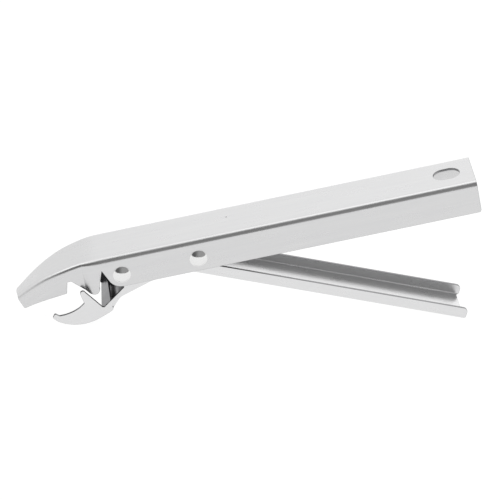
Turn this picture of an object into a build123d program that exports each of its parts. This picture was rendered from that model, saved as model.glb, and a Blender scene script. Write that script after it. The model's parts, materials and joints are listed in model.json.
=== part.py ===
"""Pan gripper: a pressed steel handle with a gripping nose, a hooked claw on the front
rivet and a squeeze lever on the rear rivet. Squeezing the lever towards the handle pushes
the rear of the claw down and closes the hook on the nose.

Everything is drawn in the handle's own frame, in millimetres: x runs from the nose tip
along the handle, y across it, and z up from the flat top of the handle. At the end the
tool is pitched so that it stands on the belly of the claw and the end of the lever."""
import os
from math import asin, atan2, cos, degrees, hypot, radians, sin
from build123d import *

# ---- driving dimensions of the handle -------------------------------------------------
handle_length = 201.0
handle_width = 24.5
handle_height = 14.8
handle_sheet = 1.1
handle_bend = 2.0            # outer radius of the folded edges
corner_radius = 1.2          # rounded corners of the sheet outlines

# ---- rivets, sleeves and spring -------------------------------------------------------
front_pivot = (45.3, -9.0)   # x, z
rear_pivot = (78.6, -8.9)
rivet_radius = 2.0
rivet_head_radius = 3.8
rivet_head_height = 1.6
sleeve_radius = 3.0
pivot_clearance = 0.05       # radial running clearance of claw and lever on their sleeves
spring_wire = 0.9
spring_mean_radius = 4.0
spring_full_turns = 3
spring_pitch = 1.0
spring_leg = 17.0
spring_play = 0.1            # left between a leg's end and the sheet that it presses on

# ---- claw -----------------------------------------------------------------------------
claw_sheet = 1.0
claw_width = 21.9
claw_ear_radius = 4.6
claw_shoulder_angle = 15.0   # above the pivot, where the straight back leaves the ear
claw_rear = 70.0             # x of the lip that the lever pushes on
claw_lip_height = -15.4      # z of the underside of that lip
claw_back_height = 5.6       # of the side plates above the lip, at the rear
claw_rear_chamfer = 1.0
claw_waist = (45.6, -19.7)
claw_heel = (40.2, -23.6)
belly_points = ((32.0, -28.6), (22.4, -29.6), (14.0, -25.9))
bridge_front = (33.5, -24.6)
bridge_rear = (38.1, -21.24)
bridge_narrowing = 2.0       # how much further back the bridge starts at its far end

# underside of the claw from its heel to its lip, as (x, z) corners
claw_web_line = [(38.7, -25.4), (40.3, -23.4), (42.6, -20.9), (56.6, -16.4),
                 (61.5, claw_lip_height), (claw_rear, claw_lip_height)]

# ---- lever ----------------------------------------------------------------------------
lever_sheet = 1.1
lever_width = 21.3
lever_bend = 1.5
lever_angle = 24.5           # the lever's slope below the handle when the jaw is open
lever_drop = 8.1             # from the rear pivot to the underside of the lever
lever_reach = 122.0          # from the rear pivot to the end of the lever
lever_wall = 5.4
lever_ear_radius = 5.2
lever_front = -3.0           # where the lever's sheet starts, along it from the pivot
lever_neck = 9.0             # where the ear runs out into the side wall
finger_root = 4.0
finger_width = 16.6
finger_tip = 65.6            # x of the finger's end, which rests on the claw's lip
finger_underside = -13.9

# ---- hanging slot ---------------------------------------------------------------------
slot_x = 189.6
slot_length = 11.5
slot_width = 9.0

# ---- the nose, from the tip to where the handle runs straight -------------------------
nose_tip = -0.9
tip_corner = (0.6, 6.0)      # x, y where the round front of the tip ends
notch_foot = (20.5, -14.86)  # the slanting front edge of the notch behind the nose
notch_head = (21.8, -8.9)
# x, drop of the top, inset of each folded edge, inset of each lower edge, z of lower edge
nose_stations = [
    (-0.9, 13.7, 7.9, 8.4, -21.0),
    (5.6, 9.4, 6.0, 6.6, -18.5),
    (10.4, 6.6, 4.6, 5.4, -17.0),
    (14.9, 4.6, 3.3, 4.3, -15.9),
    (19.6, 2.9, 2.0, 3.6, -15.0),
    (20.5, 2.62, 1.84, 3.55, -14.86),
    (21.8, 2.25, 1.62, 3.5, -18.2),
    (28.9, 0.6, 0.85, 3.5, -18.2),
    (30.6, 0.3, 0.55, 2.0, -18.2),
    (33.0, 0.1, 0.25, 0.75, -18.2),
    (36.0, 0.0, 0.0, 0.0, -18.2),
    (front_pivot[0], 0.0, 0.0, 0.0, -handle_height),
    (handle_length, 0.0, 0.0, 0.0, -handle_height),
]

# ---- cutters --------------------------------------------------------------------------
through = 60.0               # length of a cutter that passes through both flanges
below = -40.0                # z to which a cutter reaches under the tool
ahead = -5.0                 # x to which a cutter reaches in front of the nose


def side_prism(outline, y_from, y_to):
    """A flat side outline (x, z) made solid from y_from to y_to."""
    face = Plane.XZ * make_face(outline)
    return Pos(0, y_to, 0) * extrude(face, amount=y_to - y_from, dir=(0, -1, 0))


def pivot_cylinder(pivot, radius, y_from, y_to):
    """A cylinder across the tool on a pivot (x, z)."""
    length = y_to - y_from
    middle = (y_from + y_to) / 2
    return Pos(pivot[0], middle, pivot[1]) * Rot(X=90) * Cylinder(radius, length)


def channel_section(x, top_drop, edge_inset, lower_inset, lower_z):
    """The folded sheet cut across at x: two flanges and the top between them."""
    half_top = handle_width / 2 - edge_inset
    half_lower = handle_width / 2 - lower_inset
    top = -top_drop
    lean = atan2(half_top - half_lower, top - lower_z)
    inner_lower = half_lower - handle_sheet * cos(lean)
    inner_lower_z = lower_z + handle_sheet * sin(lean)
    rise = top - handle_sheet - inner_lower_z
    inner_top = inner_lower + rise * (half_top - half_lower) / (top - lower_z)
    outer = [(-half_lower, lower_z), (-half_top, top), (half_top, top), (half_lower, lower_z)]
    inner = [(inner_lower, inner_lower_z), (inner_top, top - handle_sheet),
             (-inner_top, top - handle_sheet), (-inner_lower, inner_lower_z)]
    outline = (FilletPolyline(*outer, radius=handle_bend)
               + Line(outer[-1], inner[0])
               + FilletPolyline(*inner, radius=handle_bend - handle_sheet)
               + Line(inner[-1], outer[0]))
    section = Plane(origin=(x, 0, 0), x_dir=(0, 1, 0), z_dir=(1, 0, 0))
    return section * make_face(outline)


def build_upper_handle():
    shell = loft([channel_section(*station) for station in nose_stations], ruled=True)

    # the gap between the nose and the front rivet: a square notch, the pointed guide
    # tongue and the relief slot that ends in the round cut about the rivet
    cut_foot = (front_pivot[0], -handle_height)
    gap = (Polyline(cut_foot, (front_pivot[0], below), (notch_foot[0], below), notch_foot, notch_head,
                    (23.4, notch_head[1]), (28.1, -14.5), (30.6, -16.7), (31.9, -16.5),
                    (33.5, -15.2), (34.8, -13.2), (36.7, -5.5), (37.2, -5.5), (39.7, -11.5))
           + ThreePointArc((39.7, -11.5), (42.0, -13.9), cut_foot))
    shell -= side_prism(gap, -through / 2, through / 2)

    # the nose tip is cut round in plan and its lower corners are trimmed back
    tip_side = Polyline((ahead, -13.7), (nose_tip, -13.7), (-0.5, -16.5), (0.3, -19.0), (1.3, -20.2),
                        (1.3, below), (ahead, below), (ahead, -13.7))
    shell -= side_prism(tip_side, -through / 2, through / 2)
    corner_x, corner_y = tip_corner
    tip_plan = make_face(ThreePointArc((corner_x, -corner_y), (nose_tip, 0), tip_corner)
                         + Polyline(tip_corner, (ahead, corner_y), (ahead, -corner_y),
                                    (corner_x, -corner_y)))
    shell -= extrude(tip_plan, amount=through, both=True)

    rear_edges = shell.faces().sort_by(Axis.X)[-1].edges()
    lower_corners = rear_edges.filter_by(Axis.Y).sort_by(Axis.Z)[:2]
    shell = fillet(lower_corners, corner_radius)

    slot = Pos(slot_x, 0, 0) * SlotOverall(slot_length, slot_width)
    shell -= extrude(slot, amount=2 * handle_sheet, both=True)
    for pivot in (front_pivot, rear_pivot):
        shell -= pivot_cylinder(pivot, rivet_radius, -through / 2, through / 2)
    return shell


def claw_side_outline(hooked):
    """The claw's side plate: the near one carries the hook, the far one stops at its bridge."""
    ear_x, ear_z = front_pivot
    rear_top = claw_lip_height + claw_back_height
    shoulder = radians(claw_shoulder_angle)
    ear_left = (ear_x - claw_ear_radius, ear_z)
    ear_top = (ear_x, ear_z + claw_ear_radius)
    ear_right = (ear_x + claw_ear_radius * cos(shoulder), ear_z + claw_ear_radius * sin(shoulder))
    ear = ThreePointArc(ear_left, ear_top, ear_right)
    back = Polyline(ear_right, (claw_rear - claw_rear_chamfer, rear_top),
                    (claw_rear, rear_top - claw_rear_chamfer), *reversed(claw_web_line[3:]), claw_waist)
    if hooked:
        waist = ThreePointArc(claw_waist, (42.0, -21.5), claw_heel)
        heel = ThreePointArc(claw_heel, (38.9, -25.4), (36.6, -26.8))
        keel = Line((36.6, -26.8), belly_points[0])
        belly = ThreePointArc(*belly_points)
        hook_tip = FilletPolyline(belly_points[-1], (12.4, -23.8), (13.6, -22.0), (15.4, -23.6),
                                  (17.4, -23.6), radius=(0.8, 0.7, 1.5))
        jaw = ThreePointArc((17.4, -23.6), (22.4, -22.5), (26.9, -19.9))
        throat = Line((26.9, -19.9), (26.1, -15.2))
        heel_tip = ThreePointArc((26.1, -15.2), (27.0, -13.9), (28.3, -14.7))
        notch = Polyline((28.3, -14.7), (34.1, -23.4), (34.9, -23.6), (45.2, -15.9),
                         (41.8, -12.0), ear_left)
        return ear + back + waist + heel + keel + belly + hook_tip + jaw + throat + heel_tip + notch
    front = Polyline(claw_waist, *reversed(claw_web_line[:3]), (34.7, -23.4), (36.1, -18.6),
                     (37.4, -14.0), ear_left)
    return ear + back + front


def build_claw():
    near_face = -claw_width / 2
    far_face = claw_width / 2
    claw = side_prism(claw_side_outline(True), near_face, near_face + claw_sheet)
    claw += side_prism(claw_side_outline(False), far_face - claw_sheet, far_face)

    web = offset_strip(claw_web_line, claw_sheet)
    claw += side_prism(web, near_face, far_face)

    # the bridge across the front of the claw, narrower at its far end
    bridge_near = near_face + claw_sheet / 2
    bridge_far = far_face - claw_sheet / 2
    run, rise = bridge_rear[0] - bridge_front[0], bridge_rear[1] - bridge_front[1]
    reach = hypot(run, rise)
    bridge_plane = Plane(origin=(bridge_front[0], 0, bridge_front[1]),
                         x_dir=(run / reach, 0, rise / reach), z_dir=(-rise / reach, 0, run / reach))
    bridge = bridge_plane * make_face(Polyline(
        (0, bridge_near), (reach, bridge_near), (reach, bridge_far), (bridge_narrowing, bridge_far),
        (0, bridge_near)))
    claw += extrude(bridge, amount=-claw_sheet)
    claw -= pivot_cylinder(front_pivot, sleeve_radius + pivot_clearance, -through / 2, through / 2)
    return claw


def offset_strip(line, thickness):
    """A closed outline for a strip of sheet whose underside follows the corners given."""
    upper = []
    for index, (x, z) in enumerate(line):
        before = line[max(index - 1, 0)]
        after = line[min(index + 1, len(line) - 1)]
        slope_in = atan2(z - before[1], x - before[0]) if index else None
        slope_out = atan2(after[1] - z, after[0] - x) if index < len(line) - 1 else None
        slope_in = slope_out if slope_in is None else slope_in
        slope_out = slope_in if slope_out is None else slope_out
        middle = (slope_in + slope_out) / 2
        stretch = thickness / cos((slope_out - slope_in) / 2)
        upper.append((x - stretch * sin(middle), z + stretch * cos(middle)))
    return Polyline(*line, *reversed(upper), line[0])


def lever_point(along, across):
    """A point given along and across the lever from the rear pivot, as (x, z)."""
    slope = radians(lever_angle)
    return (rear_pivot[0] + along * cos(slope) + across * sin(slope),
            rear_pivot[1] - along * sin(slope) + across * cos(slope))


def build_lower_lever():
    lever_frame = Plane(origin=(rear_pivot[0], 0, rear_pivot[1]),
                        x_dir=(cos(radians(lever_angle)), 0, -sin(radians(lever_angle))),
                        z_dir=(0, -1, 0))
    half = lever_width / 2
    under = -lever_drop
    wall_top = under + lever_wall

    # the folded channel, tall enough for the ears, cut to its side outline
    section_frame = Plane(origin=lever_frame.from_local_coords((lever_front, 0, 0)),
                          x_dir=(0, 1, 0), z_dir=lever_frame.x_dir)
    ear_top = lever_ear_radius + 1
    outer = [(-half, ear_top), (-half, under), (half, under), (half, ear_top)]
    inner_half = half - lever_sheet
    inner = [(inner_half, ear_top), (inner_half, under + lever_sheet),
             (-inner_half, under + lever_sheet), (-inner_half, ear_top)]
    outline = (FilletPolyline(*outer, radius=lever_bend) + Line(outer[-1], inner[0])
               + FilletPolyline(*inner, radius=lever_bend - lever_sheet) + Line(inner[-1], outer[0]))
    channel = extrude(section_frame * make_face(outline), amount=lever_reach - lever_front)

    ear = Circle(lever_ear_radius)
    neck = make_face(Polyline((lever_front, under), (-lever_ear_radius, 0), (lever_ear_radius, 0),
                              (lever_neck, wall_top), (lever_neck, under), (lever_front, under)))
    rail_middle = Pos((lever_reach + lever_front) / 2, under + lever_wall / 2)
    rail = rail_middle * Rectangle(lever_reach - lever_front, lever_wall)
    rail = fillet(rail.vertices().group_by(Axis.X)[-1], corner_radius)
    side = ear + neck + rail
    side_solid = extrude(lever_frame * side, amount=through / 2, both=True)
    lever = channel & side_solid

    # the finger that reaches into the claw and rests on its lip
    slope = radians(lever_angle)
    bend_along = (rear_pivot[1] + under * cos(slope) - finger_underside) / sin(slope)
    finger = offset_strip([(finger_tip, finger_underside), lever_point(bend_along, under),
                           lever_point(finger_root, under)], lever_sheet)
    lever += side_prism(finger, -finger_width / 2, finger_width / 2)
    lever -= pivot_cylinder(rear_pivot, sleeve_radius + pivot_clearance, -through / 2, through / 2)
    return lever


def build_rivet(pivot):
    half = handle_width / 2
    rivet = pivot_cylinder(pivot, rivet_radius, -half, half)
    dome_radius = (rivet_head_radius ** 2 + rivet_head_height ** 2) / (2 * rivet_head_height)
    for side in (-1, 1):
        ball_y = side * (half + rivet_head_height - dome_radius)
        ball = Pos(pivot[0], ball_y, pivot[1]) * Sphere(dome_radius)
        cap_from, cap_to = sorted((side * half, side * (half + rivet_head_height)))
        rivet += ball & pivot_cylinder(pivot, 2 * rivet_head_radius, cap_from, cap_to)
    return rivet


def build_sleeve(pivot):
    inner_half = handle_width / 2 - handle_sheet
    return (pivot_cylinder(pivot, sleeve_radius, -inner_half, inner_half)
            - pivot_cylinder(pivot, rivet_radius, -inner_half, inner_half))


def leg_rise(gap):
    """The angle at which a leg leaves the coil to reach a sheet that is gap from the pivot."""
    reach = hypot(spring_leg, spring_mean_radius)
    return degrees(asin((gap - spring_wire / 2 - spring_play) / reach)
                   - atan2(spring_mean_radius, spring_leg))


def build_return_spring():
    """A coil round the rear sleeve, with one leg under the handle and one on the lever."""
    handle_rise = leg_rise(-rear_pivot[1] - handle_sheet)
    lever_rise = leg_rise(lever_drop - lever_sheet)
    start = 90 + handle_rise
    sweep_angle = 180 - handle_rise - lever_rise - lever_angle + 360 * spring_full_turns
    coil_length = spring_pitch * sweep_angle / 360
    coil_frame = Plane(origin=(rear_pivot[0], coil_length / 2, rear_pivot[1]),
                       x_dir=(cos(radians(start)), 0, sin(radians(start))), z_dir=(0, -1, 0))
    coil = coil_frame * Helix(spring_pitch, coil_length, spring_mean_radius)
    wire = sweep(Plane(origin=coil @ 0, z_dir=coil % 0) * Circle(spring_wire / 2), path=coil)
    for end, sense in ((0, -1), (1, 1)):
        leg_plane = Plane(origin=coil @ end, z_dir=(coil % end) * sense)
        wire += extrude(leg_plane * Circle(spring_wire / 2), amount=spring_leg)
    return wire


def standing_place(shapes):
    """Pitch the tool until the claw's belly and the lever's end are level, then put the
    middle of its footprint at the origin."""
    belly = ThreePointArc(*belly_points)
    belly_center, belly_radius = belly.arc_center, belly.radius
    end_x, end_z = lever_point(lever_reach - corner_radius, corner_radius - lever_drop)
    run, fall = end_x - belly_center.X, end_z - belly_center.Y
    pitch = degrees(asin((corner_radius - belly_radius) / hypot(run, fall)) - atan2(fall, run))
    pitched = Compound(children=[Rot(Y=-pitch) * shape for shape in shapes]).bounding_box()
    return Pos(-pitched.center().X, -pitched.center().Y, -pitched.min.Z) * Rot(Y=-pitch)


parts = {
    "upper_handle": build_upper_handle(),
    "claw": build_claw(),
    "lower_lever": build_lower_lever(),
    "front_rivet": build_rivet(front_pivot),
    "rear_rivet": build_rivet(rear_pivot),
    "front_sleeve": build_sleeve(front_pivot),
    "rear_sleeve": build_sleeve(rear_pivot),
    "return_spring": build_return_spring(),
}
placing = standing_place(parts.values())
parts = {name: placing * shape for name, shape in parts.items()}

os.makedirs("parts", exist_ok=True)
for name, shape in parts.items():
    export_step(shape, f"parts/{name}.step")
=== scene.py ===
import json
import math

import bpy
import numpy as np
from bpy.props import FloatProperty, FloatVectorProperty, IntProperty, PointerProperty
from mathutils import Matrix, Vector
from mathutils.geometry import delaunay_2d_cdt


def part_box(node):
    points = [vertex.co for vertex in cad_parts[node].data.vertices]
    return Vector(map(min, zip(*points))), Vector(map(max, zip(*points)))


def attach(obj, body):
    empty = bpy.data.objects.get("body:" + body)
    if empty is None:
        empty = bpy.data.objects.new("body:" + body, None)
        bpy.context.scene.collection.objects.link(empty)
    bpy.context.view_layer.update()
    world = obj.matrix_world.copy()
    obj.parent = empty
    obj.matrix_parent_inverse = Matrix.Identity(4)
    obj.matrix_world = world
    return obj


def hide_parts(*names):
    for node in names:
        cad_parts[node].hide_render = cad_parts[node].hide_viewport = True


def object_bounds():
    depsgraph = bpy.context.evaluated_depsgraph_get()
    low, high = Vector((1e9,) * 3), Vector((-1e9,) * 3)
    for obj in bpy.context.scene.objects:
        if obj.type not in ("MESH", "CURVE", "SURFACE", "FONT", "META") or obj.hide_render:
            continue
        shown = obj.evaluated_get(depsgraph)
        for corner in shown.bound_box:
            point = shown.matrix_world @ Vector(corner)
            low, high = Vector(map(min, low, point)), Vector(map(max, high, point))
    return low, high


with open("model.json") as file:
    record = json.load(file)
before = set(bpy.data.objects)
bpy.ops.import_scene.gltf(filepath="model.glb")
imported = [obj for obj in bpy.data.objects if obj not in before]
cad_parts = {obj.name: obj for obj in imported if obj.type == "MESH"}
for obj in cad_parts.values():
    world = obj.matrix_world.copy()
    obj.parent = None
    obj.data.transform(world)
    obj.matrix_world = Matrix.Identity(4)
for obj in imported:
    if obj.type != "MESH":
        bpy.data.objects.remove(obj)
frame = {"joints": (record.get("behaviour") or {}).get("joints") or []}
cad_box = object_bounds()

bl_info = {
    "name": "Pan Gripper Workshop",
    "version": (1, 0, 0),
    "blender": (4, 5, 0),
    "location": "View3D > Sidebar > Pan Gripper",
    "description": "Presses, turns and winds the pieces of a stainless steel pan gripper",
    "category": "Add Mesh",
}

MM = 0.001
HANDLE_LENGTH = 201.0
FRONT_PIVOT = (45.3, -9.0)          # x, z in the handle's frame
REAR_PIVOT = (78.6, -8.9)


def hex_colour(code):
    """An sRGB hex colour as linear red, green and blue."""
    channels = [int(code[i:i + 2], 16) / 255 for i in (0, 2, 4)]
    return [c / 12.92 if c <= 0.04045 else ((c + 0.055) / 1.055) ** 2.4 for c in channels]


def box_width(node):
    """How wide a CAD node is across the tool, in metres."""
    low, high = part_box(node)
    return high.y - low.y


def joint_place(name):
    """Where a joint's axis crosses the middle of the tool, in metres."""
    return Vector(next(joint["pos_m"] for joint in frame["joints"] if joint["name"] == name))


def handle_to_frame():
    """The matrix from handle millimetres to the frame's metres, found from the two pivots."""
    front, rear = joint_place("claw_pivot"), joint_place("lever_pivot")
    standing = math.atan2(rear.z - front.z, rear.x - front.x)
    drawn = math.atan2(REAR_PIVOT[1] - FRONT_PIVOT[1], REAR_PIVOT[0] - FRONT_PIVOT[0])
    turn = Matrix.Rotation(drawn - standing, 4, "Y") @ Matrix.Scale(MM, 4)
    pivot = turn @ Vector((FRONT_PIVOT[0], 0, FRONT_PIVOT[1]))
    return Matrix.Translation(front - pivot) @ turn


TO_FRAME = handle_to_frame()


def put_in_scene(name, data):
    """A new object in the scene, from a mesh, a light or a camera."""
    made = bpy.data.objects.new(name, data)
    bpy.context.scene.collection.objects.link(made)
    return made


# ---- outlines -------------------------------------------------------------------------

def arc(start, middle, end, steps=10):
    """Points on the circle through three points, from start to end."""
    (ax, ay), (bx, by), (cx, cy) = start, middle, end
    double = 2 * (ax * (by - cy) + bx * (cy - ay) + cx * (ay - by))
    sums = (ax * ax + ay * ay, bx * bx + by * by, cx * cx + cy * cy)
    ox = (sums[0] * (by - cy) + sums[1] * (cy - ay) + sums[2] * (ay - by)) / double
    oy = (sums[0] * (cx - bx) + sums[1] * (ax - cx) + sums[2] * (bx - ax)) / double
    radius = math.hypot(ax - ox, ay - oy)
    first, mid, last = (math.atan2(y - oy, x - ox) for x, y in (start, middle, end))
    turn, to_mid = (last - first) % math.tau, (mid - first) % math.tau
    if to_mid > turn:
        turn -= math.tau
    angles = [first + turn * i / steps for i in range(steps + 1)]
    return [(ox + radius * math.cos(a), oy + radius * math.sin(a)) for a in angles]


def circle(centre, radius, steps=48):
    """Points of a full circle, anticlockwise."""
    angles = [math.tau * i / steps for i in range(steps)]
    return [(centre[0] + radius * math.cos(a), centre[1] + radius * math.sin(a)) for a in angles]


def rounded(points, radius, steps=6):
    """An open run of corners whose inner corners are rounded to a radius."""
    run = [np.array(point, float) for point in points]
    made = [tuple(run[0])]
    for before, corner, after in zip(run, run[1:], run[2:]):
        into, out = before - corner, after - corner
        into_length, out_length = np.linalg.norm(into), np.linalg.norm(out)
        half = math.acos(np.clip(into @ out / into_length / out_length, -1, 1)) / 2
        cut = min(radius / math.tan(half), 0.48 * into_length, 0.48 * out_length)
        start = corner + into / into_length * cut
        end = corner + out / out_length * cut
        bisector = into / into_length + out / out_length
        reach = np.linalg.norm(bisector)
        if reach < 1e-6:
            made.append(tuple(corner))
            continue
        true_radius = cut * math.tan(half)
        middle = corner + bisector / reach * (true_radius / math.sin(half) - true_radius)
        made += arc(tuple(start), tuple(middle), tuple(end), steps)
    return made + [tuple(run[-1])]


def divided(points, spacing=1.0):
    """An open run of corners with no edge longer than the spacing."""
    made = []
    for start, end in zip(points, points[1:]):
        parts = max(1, math.ceil(math.dist(start, end) / spacing))
        made += [tuple(np.array(start) + (np.array(end) - np.array(start)) * i / parts)
                 for i in range(parts)]
    return made + [tuple(points[-1])]


def tidy_loop(points, spacing):
    """A closed loop with no doubled points and no edge longer than the spacing."""
    kept = []
    for point in points:
        if not kept or math.dist(point, kept[-1]) > 0.02:
            kept.append(point)
    if math.dist(kept[0], kept[-1]) <= 0.02:
        kept.pop()
    return np.array(divided(kept + kept[:1], spacing)[:-1])


def edge_normals(loop):
    """The direction away from the material at each point of an anticlockwise loop, and how
    much longer the miter is there than the offset."""
    run = np.roll(loop, -1, axis=0) - loop
    run /= np.linalg.norm(run, axis=1)[:, None]
    outward = np.stack([run[:, 1], -run[:, 0]], axis=1)
    summed = outward + np.roll(outward, 1, axis=0)
    length = np.linalg.norm(summed, axis=1)
    return summed / length[:, None], np.minimum(2 / length, 1.6)


def signed_area(loop):
    following = np.roll(loop, -1, axis=0)
    return (loop[:, 0] * following[:, 1] - loop[:, 1] * following[:, 0]).sum() / 2


def inside(points, loop):
    """Which points lie inside a closed loop."""
    x, y = points[:, 0][:, None], points[:, 1][:, None]
    ax, ay = loop[:, 0][None], loop[:, 1][None]
    bx, by = np.roll(loop[:, 0], -1)[None], np.roll(loop[:, 1], -1)[None]
    spans = (ay > y) != (by > y)
    rise = np.where(by == ay, 1e-12, by - ay)
    crossing = ax + (y - ay) * (bx - ax) / rise
    return (spans & (x < crossing)).sum(axis=1) % 2 == 1


# ---- sheet metal ----------------------------------------------------------------------

class Sheet:
    """A piece of sheet metal: flat blanks with holes, folded by place(u, v), whose outer
    face is on the side of the cross product of the u and v directions."""

    def __init__(self, thickness, edge_radius):
        self.thickness = thickness
        self.edge_radius = edge_radius
        self.edge_steps = 3
        self.outer_slot, self.inner_slot = 0, 0
        self.points, self.normals, self.grain, self.blank = [], [], [], []
        self.faces, self.slots = [], []

    def frame_at(self, place, flat):
        """Position, outer normal and the u direction at blank points."""
        step = 0.01
        u_step, v_step = np.array([step, 0.0]), np.array([0.0, step])
        along = place(flat + u_step) - place(flat - u_step)
        across = place(flat + v_step) - place(flat - v_step)
        normal = np.cross(along, across)
        normal /= np.linalg.norm(normal, axis=1)[:, None]
        along /= np.linalg.norm(along, axis=1)[:, None]
        return place(flat), normal, along

    def add_points(self, positions, normals, along, flat):
        first = len(self.points)
        self.points += list(positions)
        self.normals += list(normals)
        self.grain += list(along)
        self.blank += [(u, v, 0.0) for u, v in flat]
        return first

    def add_faces(self, faces, slot):
        self.faces += faces
        self.slots += [slot] * len(faces)

    def add_blank(self, place, outline, holes=(), u_lines=(), v_lines=(), spacing=1.5):
        """Presses one flat outline with its holes into the sheet."""
        loops = [tidy_loop(outline, spacing)] + [tidy_loop(hole, spacing) for hole in holes]
        loops = [loop if (signed_area(loop) > 0) == (index == 0) else loop[::-1]
                 for index, loop in enumerate(loops)]
        inner_loops = [self.add_edge(place, loop) for loop in loops]
        self.add_face_pair(place, [flat for flat, _, _ in inner_loops], u_lines, v_lines, spacing,
                           [(top, bottom) for _, top, bottom in inner_loops])

    def add_edge(self, place, loop):
        """The rounded, cut edge along one loop. Returns the loop where the flat faces start
        and its first point on the outer and on the inner face."""
        away, miter = edge_normals(loop)
        count = len(loop)
        rings = []
        for outer in (True, False):
            steps = range(self.edge_steps, -1, -1) if outer else range(self.edge_steps + 1)
            for step in steps:
                angle = math.pi / 2 * step / self.edge_steps
                inset = self.edge_radius * (1 - math.cos(angle))
                flat = loop - away * (miter * inset)[:, None]
                depth = self.edge_radius * (1 - math.sin(angle))
                depth = depth if outer else self.thickness - depth
                position, normal, along = self.frame_at(place, flat)
                outward = place(flat + away * 0.01) - place(flat - away * 0.01)
                outward /= np.linalg.norm(outward, axis=1)[:, None]
                face_side = normal if outer else -normal
                shading = face_side * math.sin(angle) + outward * math.cos(angle)
                rings.append(self.add_points(position - normal * depth, shading, along, flat))
        for ring, following in zip(rings, rings[1:]):
            for i in range(count):
                j = (i + 1) % count
                self.add_faces([(ring + j, ring + i, following + i, following + j)], 1)
        inner_flat = loop - away * (miter * self.edge_radius)[:, None]
        return inner_flat, rings[0], rings[-1]

    def add_face_pair(self, place, loops, u_lines, v_lines, spacing, starts):
        """The outer and the inner face inside the loops, meshed alike."""
        grid = np.array([(u, v) for u in u_lines for v in v_lines], float).reshape(-1, 2)
        edge_points = np.concatenate(loops)
        if len(grid):
            keep = inside(grid, loops[0])
            for hole in loops[1:]:
                keep &= ~inside(grid, hole)
            grid = grid[keep]
            gap = np.linalg.norm(grid[:, None] - edge_points[None], axis=2).min(axis=1)
            grid = grid[gap > 0.45 * min(spacing, 0.8)]
        flat = np.concatenate([edge_points, grid])
        edges, first = [], 0
        for loop in loops:
            edges += [(first + i, first + (i + 1) % len(loop)) for i in range(len(loop))]
            first += len(loop)
        result = delaunay_2d_cdt([Vector(point) for point in flat], edges, [], 0, 1e-5)
        if len(result[0]) != len(flat):
            raise RuntimeError("the outline of a blank crosses itself")
        source = [origins[0] for origins in result[3]]
        triangles = np.array([[source[i] for i in triangle] for triangle in result[2]])
        centres = flat[triangles].mean(axis=1)
        keep = inside(centres, loops[0])
        for hole in loops[1:]:
            keep &= ~inside(centres, hole)
        corners = flat[triangles]
        turn = np.cross(corners[:, 1] - corners[:, 0], corners[:, 2] - corners[:, 0])
        triangles = np.where((turn < 0)[:, None], triangles[:, ::-1], triangles)
        triangles = triangles[keep & (np.abs(turn) > 1e-7)]

        position, normal, along = self.frame_at(place, grid)
        depth = normal * self.thickness
        grid_starts = (self.add_points(position, normal, along, grid),
                       self.add_points(position - depth, -normal, along, grid))
        for side, grid_start in enumerate(grid_starts):
            index = []
            for loop, ring_starts in zip(loops, starts):
                index += [ring_starts[side] + i for i in range(len(loop))]
            index += [grid_start + i for i in range(len(grid))]
            order = 1 if side == 0 else -1
            self.add_faces([tuple(index[i] for i in triangle[::order]) for triangle in triangles],
                           self.inner_slot if side else self.outer_slot)

    def finish(self, name, materials):
        """Makes the object in the frame's metres, with its shading taken from the folded form."""
        turn = np.array(TO_FRAME.to_3x3()) / MM
        placed = np.array(self.points) @ (turn * MM).T + np.array(TO_FRAME.translation)
        mesh = bpy.data.meshes.new(name)
        mesh.from_pydata(placed.tolist(), [], self.faces)
        for steel in materials:
            mesh.materials.append(steel)
        mesh.polygons.foreach_set("material_index", np.array(self.slots, np.int32))
        mesh.polygons.foreach_set("use_smooth", np.ones(len(self.faces), bool))
        store_vectors(mesh, "blank_mm", self.blank)
        store_vectors(mesh, "brushing", np.array(self.grain) @ turn.T)
        mesh.validate()
        normals = np.array(self.normals) @ turn.T
        mesh.normals_split_custom_set_from_vertices(normals.tolist())
        return put_in_scene(name, mesh)


def store_vectors(mesh, name, values):
    """Keeps one vector for each point on the mesh, for its material."""
    layer = mesh.attributes.new(name, "FLOAT_VECTOR", "POINT")
    layer.data.foreach_set("vector", np.array(values, np.float32).ravel())


def steps_between(low, high, spacing):
    """Evenly spaced values from low to high."""
    return list(np.linspace(low, high, max(2, math.ceil((high - low) / spacing) + 1)))


def across_lines(flat_half, bend, wall, spacing=2.2, bend_steps=8):
    """Where a channel's blank gets its lengthwise rows: the web, both bends, both walls."""
    arc_length = bend * math.pi / 2
    half = steps_between(0, flat_half, spacing)
    half += [flat_half + arc_length * i / bend_steps for i in range(1, bend_steps + 1)]
    half += [flat_half + arc_length + d for d in steps_between(0, wall, spacing)[1:]]
    return [-v for v in reversed(half[1:])] + half


def fold(v, flat_half, bend):
    """Across a channel's blank at v: how far out, and how far round the bend and up the
    wall the sheet has gone. The wall's height counts from the web's outer face."""
    over = np.abs(v) - flat_half
    angle = np.clip(over / bend, 0, math.pi / 2)
    out = np.minimum(np.abs(v), flat_half) + bend * np.sin(angle)
    height = bend * (1 - np.cos(angle)) + np.maximum(over - bend * math.pi / 2, 0)
    return np.sign(v) * out, height


def eased(x, xs, ys, reach):
    """A value read off straight runs between stations, with its corners eased."""
    offsets = np.linspace(-reach, reach, 9)
    return np.mean([np.interp(x + offset, xs, ys) for offset in offsets], axis=0)


# ---- the handle -----------------------------------------------------------------------

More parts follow.
